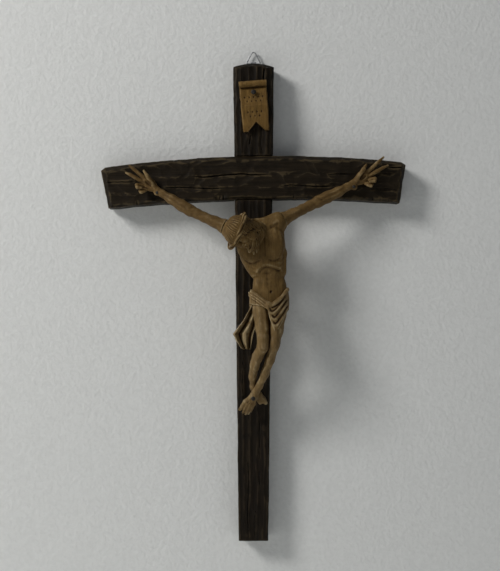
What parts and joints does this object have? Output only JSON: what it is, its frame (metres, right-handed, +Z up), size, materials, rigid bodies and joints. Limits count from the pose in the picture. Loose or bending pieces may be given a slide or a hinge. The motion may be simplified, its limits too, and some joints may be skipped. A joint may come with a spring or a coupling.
{
  "type": "wall crucifix",
  "caption": "Wall crucifix: dark adzed beams in a half-lap, a limewood figure with doweled arms, a title board, nails and a swinging hanging ring on the back.",
  "frame": {"origin": "middle of the beam crossing, on the back face that lies against the wall", "axes": "+X to the viewer's right, +Y into the wall, +Z up along the upright"},
  "size_m": [0.2939, 0.0773, 0.4744],
  "materials": {
    "stained_wood": "dark stain over adzed softwood, thin wax",
    "carved_limewood": "knife-carved limewood, honey stain, satin",
    "title_limewood": "carved limewood, honey stain, satin",
    "blackened_iron": "forged and blackened",
    "zinc_steel": "bright zinc plate",
    "beech_dowel": "bare fluted beech"
  },
  "bodies": {
    "cross": {"upright": "stained_wood", "crossbeam": "stained_wood", "figure_body": "carved_limewood", "right_arm": "carved_limewood", "left_arm": "carved_limewood", "crown_of_thorns": "carved_limewood", "title_board": "title_limewood", "title_nail": "blackened_iron", "right_hand_nail": "blackened_iron", "left_hand_nail": "blackened_iron", "foot_nail": "blackened_iron", "lap_screw_upper": "zinc_steel", "lap_screw_lower": "zinc_steel", "figure_screw": "zinc_steel", "hanger_strap": "zinc_steel", "strap_screw_upper": "zinc_steel", "strap_screw_lower": "zinc_steel", "right_arm_dowel": "beech_dowel", "left_arm_dowel": "beech_dowel"},
    "ring": {"hanging_ring": "zinc_steel"}
  },
  "joints": [
    {"name": "ring_swing", "type": "hinge", "parent": "cross", "child": "ring", "pos_m": [0, -0.0018, 0.1146], "axis": [1, 0, 0], "range_deg": [-135, 95]}
  ]
}
